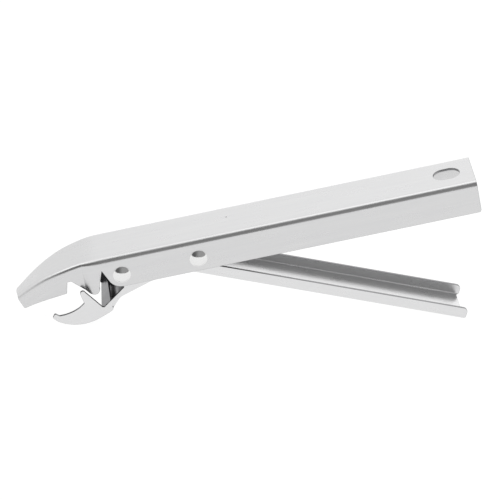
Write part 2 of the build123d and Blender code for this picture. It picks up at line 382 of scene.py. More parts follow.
SLOT_CENTRE = 189.6
FLANGE_HEIGHT = -14.8
GUIDE_LEVEL = -18.2                 # z at which the flanges' lower inset is measured
CREASE = 28.9                       # x of the crease between the nose and the guide tongue
NOTCH_FOOT = (20.5, -14.86)         # the notch's slanting front edge, as x and z
NOTCH_HEAD = (21.8, -8.9)
SHOULDER_LENGTH = 7.1
SHOULDER_DEPTH = 4.2
NOSE_X = (-6.0, -0.9, 5.6, 10.4, 14.9, 19.6, 23.4, 28.9, 33.0, 36.0)
NOSE_DROP = (17.1, 13.7, 9.4, 6.6, 4.6, 2.9, 1.8, 0.6, 0.1, 0.0)
NOSE_EDGE_INSET = (9.4, 7.9, 6.0, 4.6, 3.3, 2.0, 1.45, 0.85, 0.25, 0.0)
NOSE_LOWER_INSET = (9.5, 8.2, 6.6, 5.5, 4.6, 4.2, 4.2, 4.2, 4.2, 4.2)


class HandleForm:
    """Folds the handle's blank: a channel that narrows and dips into the gripping nose."""

    def __init__(self, sizes):
        self.half_width = sizes.width / MM / 2
        self.bend = sizes.bend / MM
        self.flat_half = self.half_width - self.bend

    def drop(self, x):
        return eased(x, NOSE_X, NOSE_DROP, 2.2)

    def inset(self, x, z):
        edge = eased(x, NOSE_X, NOSE_EDGE_INSET, 2.2)
        shoulder = SHOULDER_DEPTH * (1 - np.clip((x - CREASE) / SHOULDER_LENGTH, 0, 1)) ** 2.2
        lower = np.where(x < CREASE, eased(x, NOSE_X, NOSE_LOWER_INSET, 2.2), shoulder)
        top = -self.drop(x)
        return edge + (lower - edge) * (top - z) / (top - GUIDE_LEVEL)

    def place(self, flat):
        x, v = flat[:, 0], flat[:, 1]
        out, height = fold(v, self.flat_half, self.bend)
        z = -self.drop(x) - height
        web_scale = (self.flat_half - self.inset(x, -self.drop(x))) / self.flat_half
        on_web = np.clip(np.abs(v) / self.flat_half, 0, 1)
        beyond = np.abs(out) - self.flat_half * on_web
        lean = self.inset(x, z) - self.inset(x, -self.drop(x))
        y = self.flat_half * on_web * web_scale + beyond - np.where(on_web < 1, 0, lean)
        return np.stack([x, np.sign(v) * y, z], axis=1)

    def across(self, x, z):
        """How far across the blank a point of the flange lies."""
        top = -self.drop(np.array([x]))[0]
        return self.flat_half + self.bend * (math.pi / 2 - 1) + top - z


def flange_outline():
    """Lower outline of a flange from the nose tip to the rear corner, as x and z."""
    nose_edge = arc((1.2, -20.15), (10.4, -17.0), NOTCH_FOOT, 14)
    tip = rounded([(-0.6, -14.3), (-0.55, -15.2), nose_edge[0], nose_edge[1]], 0.6)
    notch = rounded([nose_edge[-2], NOTCH_FOOT, NOTCH_HEAD, (23.5, -8.9), (29.4, -15.7)], 0.45)
    tongue = arc((29.4, -15.7), (31.4, -16.65), (34.8, -13.2))
    relief = rounded([(34.8, -13.2), (36.7, -5.5), (37.2, -5.5), (39.7, -11.5)], 0.3)
    collar = arc((39.7, -11.5), (42.0, -13.9), (45.3, FLANGE_HEIGHT))
    return tip + nose_edge[2:-2] + notch + tongue[1:] + relief[1:] + collar[1:]


def press_handle(sizes, steel, cut_edge):
    """Cuts and folds the handle's blank."""
    form = HandleForm(sizes)
    side = [(x, form.across(x, z)) for x, z in flange_outline()]
    rear = form.across(HANDLE_LENGTH, FLANGE_HEIGHT)
    corner = rounded([side[-1], (HANDLE_LENGTH, rear), (HANDLE_LENGTH, 0)], sizes.corner / MM, 8)
    far_side = side + corner[1:-1]
    near_side = [(x, -v) for x, v in reversed(far_side)]
    nose_tip = arc(near_side[-1], (-0.9, 0), far_side[0], 24)
    outline = far_side + near_side + nose_tip[1:-1]

    slot_radius = sizes.slot_width / MM / 2
    reach = sizes.slot_length / MM / 2 - slot_radius
    rear_end, front_end = SLOT_CENTRE + reach, SLOT_CENTRE - reach
    slot = (arc((rear_end, -slot_radius), (rear_end + slot_radius, 0), (rear_end, slot_radius), 24)
            + arc((front_end, slot_radius), (front_end - slot_radius, 0), (front_end, -slot_radius), 24))
    rivet_holes = [circle((x, side * form.across(x, z)), sizes.rivet_hole / MM / 2)
                   for x, z in (FRONT_PIVOT, REAR_PIVOT) for side in (-1, 1)]
    u_lines = (steps_between(-0.5, CREASE - 0.06, 0.8) + steps_between(CREASE + 0.06, 46, 0.6)
               + steps_between(50, HANDLE_LENGTH - 1, 4))
    wall = -FLANGE_HEIGHT - form.bend + 3
    v_lines = across_lines(form.flat_half, form.bend, wall)
    sheet = Sheet(sizes.sheet / MM, sizes.edge_radius / MM)
    sheet.add_blank(form.place, outline, [slot] + rivet_holes, u_lines, v_lines, 1.2)
    return sheet.finish("pressed_handle", (steel, cut_edge))


# ---- the claw -------------------------------------------------------------------------

CLAW_REAR = 70.0
CLAW_LIP = -15.4                    # z of the underside of the lip that the lever presses on
CLAW_FOLD_START = 38.55             # x at which the web's folds begin
CLAW_WEB_X = (36.0, 38.7, 40.3, 42.6, 56.6, 61.5, 75.0)
CLAW_WEB_Z = (-28.8, -25.4, -23.4, -20.9, -16.4, CLAW_LIP, CLAW_LIP)
BRIDGE_FRONT = (33.5, -24.6)
BRIDGE_REAR = (38.1, -21.24)
BRIDGE_NARROWING = 2.0              # how much further back the bridge starts at its far end


class ClawForm:
    """Folds the claw's blank: two side plates and the web under them. Ahead of the folds
    the near plate stays flat and carries the hook."""

    def __init__(self, sizes):
        self.half_width = sizes.width / MM / 2
        self.bend = sizes.bend / MM
        self.flat_half = self.half_width - self.bend

    def web(self, x):
        return eased(np.maximum(x, CLAW_FOLD_START), CLAW_WEB_X, CLAW_WEB_Z, 0.9)

    def place(self, flat):
        x, v = flat[:, 0], flat[:, 1]
        out, height = fold(v, self.flat_half, self.bend)
        plate_height = self.bend + np.abs(v) - self.flat_half - self.bend * math.pi / 2
        flat_ahead = x < CLAW_FOLD_START
        height = np.where(flat_ahead, plate_height, height)
        out = np.where(flat_ahead, np.sign(v) * self.half_width, out)
        return np.stack([x, -out, self.web(x) + height], axis=1)

    def across(self, x, z):
        """How far across the blank a point of a side plate lies."""
        web = self.web(np.array([x]))[0]
        return self.flat_half + self.bend * (math.pi / 2 - 1) + z - web


def claw_back(ear_radius):
    """From the rear end of a side plate up to its ear and round the pivot, as x and z."""
    ear_x, ear_z = FRONT_PIVOT
    turn = math.radians(15)
    ear_right = (ear_x + ear_radius * math.cos(turn), ear_z + ear_radius * math.sin(turn))
    ear_left = (ear_x - ear_radius, ear_z)
    climb = rounded([(CLAW_REAR, CLAW_LIP + 1.6), (CLAW_REAR, CLAW_LIP + 5.2),
                     (CLAW_REAR - 1.4, CLAW_LIP + 5.7), ear_right], 0.8)
    return climb + arc(ear_right, (ear_x, ear_z + ear_radius), ear_left, 24)[1:]


def hook_outline():
    """The near plate ahead of its ear: guide finger, jaw, hook and heel, as x and z."""
    finger = rounded([(41.8, -12.0), (45.2, -15.9), (34.9, -23.75), (34.1, -23.4), (28.3, -14.7)], 0.35)
    finger_tip = arc((28.3, -14.7), (27.0, -13.9), (26.1, -15.2))
    throat = rounded([finger_tip[-1], (26.9, -19.9), (24.9, -21.4)], 0.25)
    jaw = arc((24.9, -21.4), (21.4, -22.9), (17.4, -23.6))
    hook_tip = rounded([(17.4, -23.6), (15.4, -23.6), (13.6, -22.0), (12.4, -23.8), (14.0, -25.9)], 0.7)
    belly = arc((14.0, -25.9), (22.4, -29.6), (32.0, -28.6), 24)
    heel = arc((36.6, -26.8), (37.6, -26.3), (38.46, -25.6))
    return finger + finger_tip[1:] + throat[1:] + jaw[1:] + hook_tip[1:] + belly[1:] + heel


def press_claw(sizes, steel, cut_edge, inner_shade_steel):
    """Cuts and folds the claw's blank and sets the bridge across its front. The inner faces and the bridge
    get a darker steel: painted shade for the shade inside the claw under the handle."""
    form = ClawForm(sizes)
    back = claw_back(sizes.ear_radius / MM)
    relief = [(38.48, -24.1), (38.62, -24.1)]
    far_front = rounded([(38.62, -24.1), (38.48, -24.1), (38.46, -25.2), (34.7, -23.4), (36.1, -18.6),
                         (37.4, -14.0), back[-1]], 0.4)
    near_side = [(x, form.across(x, z)) for x, z in divided(back + hook_outline() + relief)]
    far_side = [(x, -form.across(x, z)) for x, z in divided(far_front[:-1] + back[::-1])]
    pivot = form.across(*FRONT_PIVOT)
    holes = [circle((FRONT_PIVOT[0], side * pivot), sizes.pivot_hole / MM / 2) for side in (-1, 1)]
    u_lines = (steps_between(12, CLAW_FOLD_START - 0.3, 1.2)
               + steps_between(CLAW_FOLD_START + 0.4, 46, 0.7) + steps_between(47, 70, 1.2))
    v_lines = across_lines(form.flat_half, form.bend, 14)
    sheet = Sheet(sizes.sheet / MM, sizes.edge_radius / MM)
    # the inner faces take the third material, a darker steel that is painted shade
    sheet.inner_slot = 2
    sheet.add_blank(form.place, near_side + far_side, holes, u_lines, v_lines, 1.0)

    run = np.subtract(BRIDGE_REAR, BRIDGE_FRONT)
    reach = float(np.linalg.norm(run))
    run = run / reach
    end = form.half_width - sheet.thickness / 2
    bridge = [(0, -end), (reach, -end), (reach, end), (BRIDGE_NARROWING, end)]

    def place_bridge(flat):
        x = BRIDGE_FRONT[0] + flat[:, 0] * run[0]
        z = BRIDGE_FRONT[1] + flat[:, 0] * run[1]
        return np.stack([x, flat[:, 1], z], axis=1)

    # the bridge is all in the darker steel that is painted shade
    sheet.outer_slot = 2
    sheet.add_blank(place_bridge, bridge, (), (2, 4), steps_between(-9, 9, 3), 1.0)
    return sheet.finish("pressed_claw", (steel, cut_edge, inner_shade_steel))


# ---- the lever ------------------------------------------------------------------------

LEVER_SLOPE = math.radians(24.5)
LEVER_DROP = 8.1                    # from the rear pivot to the underside of the lever
LEVER_END = 122.0                   # from the rear pivot along the lever
WEB_SETBACK = 1.15                  # how far the web stops short of the walls' end
FINGER_TIP = 65.6                   # x of the finger's end
FINGER_LEVEL = -13.9                # z of the finger's underside
NECK_FRONT = -3.0
NECK_END = 9.0                      # where the ear runs out into the wall


class LeverForm:
    """Folds the lever's blank: a channel whose web runs on as a finger, bent level. The
    blank's u runs along the underside, from the point below the rear pivot."""

    def __init__(self, sizes):
        self.half_width = sizes.width / MM / 2
        self.bend = sizes.bend / MM
        self.flat_half = self.half_width - self.bend
        fall = FINGER_LEVEL - REAR_PIVOT[1] + LEVER_DROP * math.cos(LEVER_SLOPE)
        self.finger_bend = -fall / math.sin(LEVER_SLOPE)
        bend_x = (REAR_PIVOT[0] + self.finger_bend * math.cos(LEVER_SLOPE)
                  - LEVER_DROP * math.sin(LEVER_SLOPE))
        self.finger_start = self.finger_bend - (bend_x - FINGER_TIP)
        step = 0.05
        self.u = np.arange(self.finger_start - 2, LEVER_END + 2, step)
        bend_reach = 1.2
        eased_share = np.clip((self.u - self.finger_bend + bend_reach) / (2 * bend_reach), 0, 1)
        self.angle = -LEVER_SLOPE * eased_share
        x, z = np.cumsum(np.cos(self.angle)) * step, np.cumsum(np.sin(self.angle)) * step
        under_x = REAR_PIVOT[0] - LEVER_DROP * math.sin(LEVER_SLOPE)
        under_z = REAR_PIVOT[1] - LEVER_DROP * math.cos(LEVER_SLOPE)
        self.x = x - np.interp(0, self.u, x) + under_x
        self.z = z - np.interp(0, self.u, z) + under_z

    def place(self, flat):
        u, v = flat[:, 0], flat[:, 1]
        out, height = fold(v, self.flat_half, self.bend)
        angle = np.interp(u, self.u, self.angle)
        x = np.interp(u, self.u, self.x) - np.sin(angle) * height
        z = np.interp(u, self.u, self.z) + np.cos(angle) * height
        return np.stack([x, -out, z], axis=1)

    def across(self, height):
        """How far across the blank a point of a wall lies, from its height over the underside."""
        return self.flat_half + self.bend * (math.pi / 2 - 1) + height


def press_lever(sizes, steel, cut_edge):
    """Cuts and folds the lever's blank."""
    form = LeverForm(sizes)
    ear_radius, wall = sizes.ear_radius / MM, sizes.wall / MM
    half_finger = sizes.finger_width / MM / 2
    tip = rounded([(form.finger_start, 0), (form.finger_start, half_finger),
                   (NECK_FRONT, half_finger)], 2.0)
    neck = rounded([(NECK_FRONT - 0.8, half_finger), (NECK_FRONT, half_finger),
                    (NECK_FRONT, form.across(1.5)), (-ear_radius, form.across(LEVER_DROP))], 0.5)
    ear = arc((-ear_radius, form.across(LEVER_DROP)), (0, form.across(LEVER_DROP + ear_radius)),
              (ear_radius, form.across(LEVER_DROP)), 24)
    top = rounded([ear[-1], (NECK_END, form.across(wall)), (LEVER_END, form.across(wall)),
                   (LEVER_END, form.across(0.9)), (LEVER_END - WEB_SETBACK, form.across(-0.5)),
                   (LEVER_END - WEB_SETBACK, 0.5 * half_finger)], sizes.corner / MM, 8)
    half = tip[:-1] + neck + ear[1:] + top[1:]
    outline = half + [(u, -v) for u, v in reversed(half)]
    holes = [circle((0, side * form.across(LEVER_DROP)), sizes.pivot_hole / MM / 2) for side in (-1, 1)]
    u_lines = (steps_between(form.finger_start + 0.6, form.finger_bend - 1.3, 1.2)
               + steps_between(form.finger_bend - 1.2, form.finger_bend + 1.2, 0.3)
               + steps_between(form.finger_bend + 1.5, 12, 1.2) + steps_between(15, LEVER_END - 1, 4))
    v_lines = across_lines(form.flat_half, form.bend, LEVER_DROP + ear_radius - form.bend)
    sheet = Sheet(sizes.sheet / MM, sizes.edge_radius / MM)
    sheet.add_blank(form.place, outline, holes, u_lines, v_lines, 1.2)
    return sheet.finish("pressed_lever", (steel, cut_edge))


# ---- rivets, sleeves and spring -------------------------------------------------------

def turn_profile(name, profile, pivot, material, steps=72):
    """Turns a closed profile of radius and y about a pivot's axis. Radii of zero close it."""
    points, rings = [], []
    for radius, y in profile:
        count = 1 if radius < 1e-6 else steps
        rings.append((len(points), count))
        for i in range(count):
            angle = math.tau * i / steps
            points.append((pivot[0] + radius * math.cos(angle), y, pivot[1] + radius * math.sin(angle)))
    faces = []
    ends_meet = rings[0][1] > 1
    following_rings = rings[1:] + rings[:1] if ends_meet else rings[1:]
    for (first, count), (second, following_count) in zip(rings, following_rings):
        for i in range(steps):
            j = (i + 1) % steps
            if count == 1:
                faces.append((first, second + i, second + j))
            elif following_count == 1:
                faces.append((first + j, first + i, second))
            else:
                faces.append((first + i, second + i, second + j, first + j))
    mesh = bpy.data.meshes.new(name)
    mesh.from_pydata([TO_FRAME @ Vector(point) for point in points], [], faces)
    mesh.materials.append(material)
    mesh.polygons.foreach_set("use_smooth", np.ones(len(faces), bool))
    mesh.set_sharp_from_angle(angle=math.radians(32))
    relative = [((x - pivot[0]), y, (z - pivot[1])) for x, y, z in points]
    store_vectors(mesh, "turned_mm", relative)
    return put_in_scene(name, mesh)


def rivet_profile(sizes, half):
    """One rivet from its near dome to its far dome, with a fine bright rim to each head."""
    head, height = sizes.head_radius / MM, sizes.head_height / MM
    dome = (head ** 2 + height ** 2) / (2 * height)
    spread = math.asin(head / dome)
    near = []
    for step in range(15):
        angle = spread * step / 14
        near.append((dome * math.sin(angle), -half - height + dome * (1 - math.cos(angle))))
    near[-1] = (head, -half - 0.14)
    near += [(head - 0.03, -half - 0.05), (head - 0.12, -half)]
    near += [(sizes.shank_radius / MM + 0.1, -half), (sizes.shank_radius / MM, -half + 0.1)]
    return near + [(radius, -y) for radius, y in reversed(near)]


def sleeve_profile(sizes, half):
    """A turned sleeve with a small chamfer at each end."""
    inner, outer, chamfer = sizes.shank_radius / MM, sizes.sleeve_radius / MM, 0.2
    bore = inner + 0.01
    return [(outer, -half + chamfer), (outer, half - chamfer), (outer - chamfer, half), (bore, half),
            (bore, -half), (outer - chamfer, -half)]


def wind_spring(sizes, handle_sheet, lever_sheet, material):
    """Winds the return spring: three turns round the rear sleeve, with one leg under the
    handle and one on the lever."""
    wire, radius, leg = sizes.wire / MM, sizes.spring_radius / MM, sizes.spring_leg / MM
    reach = math.hypot(leg, radius)

    def rise(gap):
        return math.asin((gap - wire / 2 - 0.1) / reach) - math.atan2(radius, leg)

    handle_rise = rise(-REAR_PIVOT[1] - handle_sheet)
    lever_rise = rise(LEVER_DROP - lever_sheet)
    start = math.pi / 2 + handle_rise
    sweep = math.pi - handle_rise - lever_rise - LEVER_SLOPE + math.tau * sizes.spring_turns
    pitch = wire * 1.12
    length = pitch * sweep / math.tau
    count = 40 * sizes.spring_turns
    turns = [sweep * i / count for i in range(count + 1)]
    coil = [(REAR_PIVOT[0] + radius * math.cos(start + a), length / 2 - pitch * a / math.tau,
             REAR_PIVOT[1] + radius * math.sin(start + a)) for a in turns]
    points = [Vector(point) for point in coil]
    first = points[0] + (points[0] - points[1]).normalized() * leg
    last = points[-1] + (points[-1] - points[-2]).normalized() * leg
    leg_steps = [0.02, 0.25, 0.5, 0.75]
    points = ([first.lerp(points[0], t) for t in [0] + leg_steps] + points
              + [last.lerp(points[-1], t) for t in reversed([0] + leg_steps)])
    curve = bpy.data.curves.new("spring_line", "CURVE")
    curve.dimensions = "3D"
    curve.bevel_depth = wire / 2 * MM
    curve.bevel_resolution = 5
    curve.use_fill_caps = True
    spline = curve.splines.new("POLY")
    spline.points.add(len(points) - 1)
    for index, point in enumerate(points):
        spline.points[index].co = (TO_FRAME @ point).to_4d()
        spline.points[index].radius = 0.9 if index in (0, len(points) - 1) else 1.0
    drawn = bpy.data.objects.new("spring_line", curve)
    mesh = bpy.data.meshes.new_from_object(drawn)
    bpy.data.objects.remove(drawn)
    bpy.data.curves.remove(curve)
    mesh.name = "wound_spring"
    mesh.materials.clear()
    mesh.materials.append(material)
    mesh.set_sharp_from_angle(angle=math.radians(40))
    return put_in_scene("wound_spring", mesh)


# ---- materials ------------------------------------------------------------------------

def add_node(tree, kind, settings=(), inputs=()):
    """Adds a node with its settings and its inputs: each input is a value or a socket."""
    node = tree.nodes.new(kind)
    for name, value in dict(settings).items():
        setattr(node, name, value)
    for name, value in dict(inputs).items():
        if isinstance(value, bpy.types.NodeSocket):
            tree.links.new(value, node.inputs[name])
        else:
            node.inputs[name].default_value = value
    return node


def new_material(name):
    """An empty node material and its tree."""
    material = bpy.data.materials.new(name)
    material.use_nodes = True
    material.node_tree.nodes.clear()
    return material, material.node_tree


def finish_steel(tree, pattern, dark, light, surface):
    """Joins a steel's shader to the output: its colour goes from dark to light by a pattern
    from 0 to 1, and surface holds the shader's other inputs."""
    colour = add_node(tree, "ShaderNodeMix", {"data_type": "RGBA"}, {"Factor": pattern})
    colour.inputs[6].default_value = (*dark, 1.0)
    colour.inputs[7].default_value = (*light, 1.0)
    shader = add_node(tree, "ShaderNodeBsdfPrincipled", (),
                      {"Metallic": 1.0, "Base Color": colour.outputs[2], **surface})
    add_node(tree, "ShaderNodeOutputMaterial", (), {"Surface": shader.outputs["BSDF"]})


def stretched_noise(tree, source, across_mm, along_mm, detail):
    """Noise on a millimetre coordinate, with its own size along and across the grain."""
    scaled = add_node(tree, "ShaderNodeVectorMath", {"operation": "MULTIPLY"},
                      {0: source, 1: (1 / along_mm, 1 / across_mm, 1 / across_mm)})
    noise = add_node(tree, "ShaderNodeTexNoise", {"noise_dimensions": "3D"},
                     {"Vector": scaled.outputs["Vector"], "Scale": 1.0, "Detail": detail, "Roughness": 0.6})
    return noise.outputs["Fac"]


def brushed_sheet(name, finish, dark, light):
    """Stainless sheet, belt-ground lengthwise before it was pressed, which gives fine lines
    along each piece and reflections that spread across them. Grit 180 leaves lines 0.08 mm
    apart, too fine to show, so they are drawn at the set spacing."""
    material, tree = new_material(name)
    blank = add_node(tree, "ShaderNodeAttribute", {"attribute_name": "blank_mm"}).outputs["Vector"]
    spacing, run = finish.brush_spacing / MM, finish.brush_run / MM
    lines = stretched_noise(tree, blank, spacing, run, 3.0)
    bands = stretched_noise(tree, blank, spacing * 7, run * 2.5, 2.0)
    handling = stretched_noise(tree, blank, 9.0, 14.0, 3.0)
    both = add_node(tree, "ShaderNodeMix", {"data_type": "FLOAT"},
                    {"Factor": 0.45, "A": lines, "B": bands}).outputs[0]
    shade = add_node(tree, "ShaderNodeMapRange", (),
                     {"Value": both, "From Min": 0.3, "From Max": 0.7}).outputs["Result"]
    rough_lines = add_node(tree, "ShaderNodeMapRange", (),
                           {"Value": both, "From Min": 0.3, "From Max": 0.7,
                            "To Min": finish.brush_roughness - 0.02,
                            "To Max": finish.brush_roughness + 0.02}).outputs["Result"]
    smudges = add_node(tree, "ShaderNodeMapRange", (),
                       {"Value": handling, "From Min": 0.35, "From Max": 0.7,
                        "To Min": 0.0, "To Max": 0.05}).outputs["Result"]
    roughness = add_node(tree, "ShaderNodeMath", {"operation": "ADD"}, {0: rough_lines, 1: smudges})
    bump = add_node(tree, "ShaderNodeBump", (), {"Strength": 0.06, "Distance": 0.00002, "Height": lines})
    grain = add_node(tree, "ShaderNodeAttribute", {"attribute_name": "brushing"}).outputs["Vector"]
    tangent = add_node(tree, "ShaderNodeVectorTransform",
                       {"vector_type": "VECTOR", "convert_from": "OBJECT", "convert_to": "WORLD"},
                       {"Vector": grain}).outputs["Vector"]
    finish_steel(tree, shade, dark, light,
                 {"Anisotropic": 0.55, "Roughness": roughness.outputs[0],
                  "Normal": bump.outputs["Normal"], "Tangent": tangent})
    return material


def brushed_stainless(finish):
    """Brushed stainless steel of the handle."""
    return brushed_sheet("brushed_stainless_steel", finish, finish.steel_dark, finish.steel_light)


def satin_stainless(finish):
    """Satin stainless steel of the claw and the lever: their strip left the belt lighter."""
    return brushed_sheet("satin_stainless_steel", finish, finish.satin_dark, finish.satin_light)


def painted_shade_stainless(finish):
    """Brushed stainless steel in darker shades than the ground steel: painted shade on the claw's inner
    faces and bridge, which lie in the shade under the handle.
    """
    return brushed_sheet("painted_shade_stainless", finish, finish.inner_shade_dark, finish.inner_shade_light)


def sheared_stainless(finish):
    """The edge that blanking leaves on stainless sheet: bright burnish and a duller, torn
    band, with fine lines through the thickness that show as small changes of shade."""
    material, tree = new_material("sheared_stainless_edge")
    blank = add_node(tree, "ShaderNodeAttribute", {"attribute_name": "blank_mm"}).outputs["Vector"]
    lines = stretched_noise(tree, blank, 0.35, 0.35, 3.0)
    roughness = add_node(tree, "ShaderNodeMapRange", (),
                         {"Value": lines, "To Min": 0.22, "To Max": 0.42}).outputs["Result"]
    bump = add_node(tree, "ShaderNodeBump", (), {"Strength": 0.2, "Distance": 0.00003, "Height": lines})
    finish_steel(tree, lines, finish.cut_dark, finish.cut_light,
                 {"Roughness": roughness, "Normal": bump.outputs["Normal"]})
    return material


def polished_stainless(finish):
    """Polished stainless steel: the rivet heads are set by a smooth snap tool and tumbled,
    which gives mirror domes with a few hairline scratches and faint dimples."""
    material, tree = new_material("polished_stainless_rivet")
    turned = add_node(tree, "ShaderNodeAttribute", {"attribute_name": "turned_mm"}).outputs["Vector"]
    hairlines = stretched_noise(tree, turned, 0.25, 2.5, 4.0)
    dimples = stretched_noise(tree, turned, 1.3, 1.3, 2.0)
    roughness = add_node(tree, "ShaderNodeMapRange", (),
                         {"Value": hairlines, "From Min": 0.35, "From Max": 0.75,
                          "To Min": finish.rivet_roughness,
                          "To Max": finish.rivet_roughness + 0.1}).outputs["Result"]
    bump = add_node(tree, "ShaderNodeBump", (), {"Strength": 0.25, "Distance": 0.00006, "Height": dimples})
    finish_steel(tree, hairlines, finish.rivet_dark, finish.rivet_light,
                 {"Roughness": roughness, "Normal": bump.outputs["Normal"]})
    return material


def turned_stainless(finish):
    """Turned stainless steel: the tool's feed leaves rings round the sleeves, 0.1 mm apart
    and drawn at 0.3 mm, which give a striped, slightly duller sheen."""
    material, tree = new_material("turned_stainless_sleeve")
    turned = add_node(tree, "ShaderNodeAttribute", {"attribute_name": "turned_mm"}).outputs["Vector"]
    along = add_node(tree, "ShaderNodeSeparateXYZ", (), {"Vector": turned}).outputs["Y"]
    feed = add_node(tree, "ShaderNodeMath", {"operation": "MULTIPLY"}, {0: along, 1: math.tau / 0.3})
    rings = add_node(tree, "ShaderNodeMath", {"operation": "SINE"}, {0: feed.outputs[0]}).outputs[0]
    share = add_node(tree, "ShaderNodeMapRange", (), {"Value": rings, "From Min": -1.0}).outputs["Result"]
    bump = add_node(tree, "ShaderNodeBump", (), {"Strength": 0.3, "Distance": 0.00002, "Height": share})
    finish_steel(tree, share, finish.cut_dark, finish.cut_light,
                 {"Roughness": 0.28, "Normal": bump.outputs["Normal"]})
    return material


def drawn_spring_wire(finish):
    """Drawn stainless spring wire: the die leaves a smooth, slightly dark skin with soft
    changes of shade along the wire."""
    material, tree = new_material("drawn_stainless_wire")
    place = add_node(tree, "ShaderNodeTexCoord").outputs["Object"]
    to_mm = add_node(tree, "ShaderNodeVectorMath", {"operation": "SCALE"}, {0: place, "Scale": 1 / MM})
    skin = stretched_noise(tree, to_mm.outputs["Vector"], 0.6, 2.0, 3.0)
    roughness = add_node(tree, "ShaderNodeMapRange", (),
                         {"Value": skin, "To Min": 0.18, "To Max": 0.34}).outputs["Result"]
    finish_steel(tree, skin, finish.wire_dark, finish.wire_light, {"Roughness": roughness})
    return material


MATERIAL_MAKERS = {
    "brushed_stainless_steel": brushed_stainless,
    "satin_stainless_steel": satin_stainless,
    # a darker steel that is painted shade on the claw's inner faces and bridge
    "painted_shade_stainless": painted_shade_stainless,
    "sheared_stainless_edge": sheared_stainless,
    "polished_stainless_rivet": polished_stainless,
    "turned_stainless_sleeve": turned_stainless,
    "drawn_stainless_wire": drawn_spring_wire,
}


def material(name):
    """A finish of the workshop, made when it is first asked for."""
    made = bpy.data.materials.get(name)
    return made or MATERIAL_MAKERS[name](bpy.context.scene.gripper_finish)


# ---- stage ----------------------------------------------------------------------------

def plain_surface(name, colour, roughness, glow=0.0):
    """A matt surface of the stage, which may be lit through from behind."""
    made = bpy.data.materials.new(name)
    made.use_nodes = True
    shader = made.node_tree.nodes["Principled BSDF"]
    shader.inputs["Base Color"].default_value = (*colour, 1.0)
    shader.inputs["Roughness"].default_value = roughness
    shader.inputs["Specular IOR Level"].default_value = 0.1
    shader.inputs["Emission Color"].default_value = (1.0, 1.0, 1.0, 1.0)
    shader.inputs["Emission Strength"].default_value = glow
    return made


def lay_floor(stage):
    """A wide, pale table with a gentle fall at its rim, lit through from below."""
    half = stage.floor_size / 2
    steps = 24
    rings = [(0.0, 0.0)] + [(half * (i / steps), 0.0) for i in range(1, steps)] + [(half, -0.02)]
    spokes = 48
    points, faces = [], []
    for radius, z in rings:
        points += [(radius * math.cos(math.tau * i / spokes), radius * math.sin(math.tau * i / spokes), z)
                   for i in range(spokes)]
    for ring in range(len(rings) - 1):
        for i in range(spokes):
            j = (i + 1) % spokes
            first, second = ring * spokes, (ring + 1) * spokes
            faces.append((first + i, second + i, second + j, first + j))
    mesh = bpy.data.meshes.new("studio_table")
    mesh.from_pydata(points, [], faces)
    mesh.validate()
    mesh.materials.append(plain_surface("opal_acrylic_table", stage.table_colour, 0.9, stage.table_glow))
    floor = put_in_scene("studio_table", mesh)
    floor.location.z = cad_box[0].z - 0.0001


# where the card ends to the front and to the back, in the tool's half widths, and its lift
CARD_FRONT, CARD_BACK, CARD_LIFT = 0.76, 2.2, 0.001
# where the room and the screens turn lighter from left to right, and the share of their light
# at each side
ROOM_TURN, ROOM_SHARES = (-0.18, -0.03), (0.94, 1.14)
SCREEN_TURN, SCREEN_SHARES = (-0.5, 0.1), (0.5, 1.5)
SCREEN_WIDENING = 2.6
OVERHEAD_AZIMUTH, OVERHEAD_ELEVATION = math.radians(164), math.radians(78)
OVERHEAD_REACH, OVERHEAD_FADE = math.radians(8), math.radians(14)


def lay_shade_card(stage):
    """A black card low under the nose, which the camera does not see: only the steel's
    reflections show it, as the dark side of the guide tongue."""
    low, high = cad_box
    left, right = low.x + stage.card_inset, low.x + stage.card_inset + stage.card_length
    front, back = CARD_FRONT * low.y, CARD_BACK * high.y
    level = low.z + CARD_LIFT
    mesh = bpy.data.meshes.new("shade_card")
    mesh.from_pydata([(left, front, level), (right, front, level), (right, back, level),
                      (left, back, level)], [], [(0, 1, 2, 3)])
    mesh.materials.append(plain_surface("black_card", stage.card_colour, 0.95))
    card = put_in_scene("shade_card", mesh)
    card.visible_camera = card.visible_diffuse = card.visible_shadow = False


def heading(azimuth, elevation):
    """The direction from the tool at an azimuth round it and an elevation over the table."""
    return Vector((math.sin(azimuth) * math.cos(elevation), -math.cos(azimuth) * math.cos(elevation),
                   math.sin(elevation)))


def light_patch(tree, toward, middle, reach, fade, widening=1.0):
    """A patch of the surroundings about a direction, widened from side to side: 1 inside it
    and 0 beyond its fade."""
    narrowed = add_node(tree, "ShaderNodeVectorMath", {"operation": "MULTIPLY"},
                        {0: toward, 1: (1 / widening, 1, 1)}).outputs["Vector"]
    aim = add_node(tree, "ShaderNodeVectorMath", {"operation": "NORMALIZE"}, {0: narrowed}).outputs["Vector"]
    nearness = add_node(tree, "ShaderNodeVectorMath", {"operation": "DOT_PRODUCT"},
                        {0: aim, 1: middle}).outputs["Value"]
    return add_node(tree, "ShaderNodeMapRange", {"interpolation_type": "SMOOTHSTEP"},
                    {"Value": nearness, "From Min": math.cos(reach + fade),
                     "From Max": math.cos(reach)}).outputs["Result"]


def light_across(tree, sideways, turn, light, shares):
    """A light that changes from left to right over a turn, from one share of itself to another."""
    return add_node(tree, "ShaderNodeMapRange", (),
                    {"Value": sideways, "From Min": turn[0], "From Max": turn[1],
                     "To Min": light * shares[0], "To Max": light * shares[1]}).outputs["Result"]


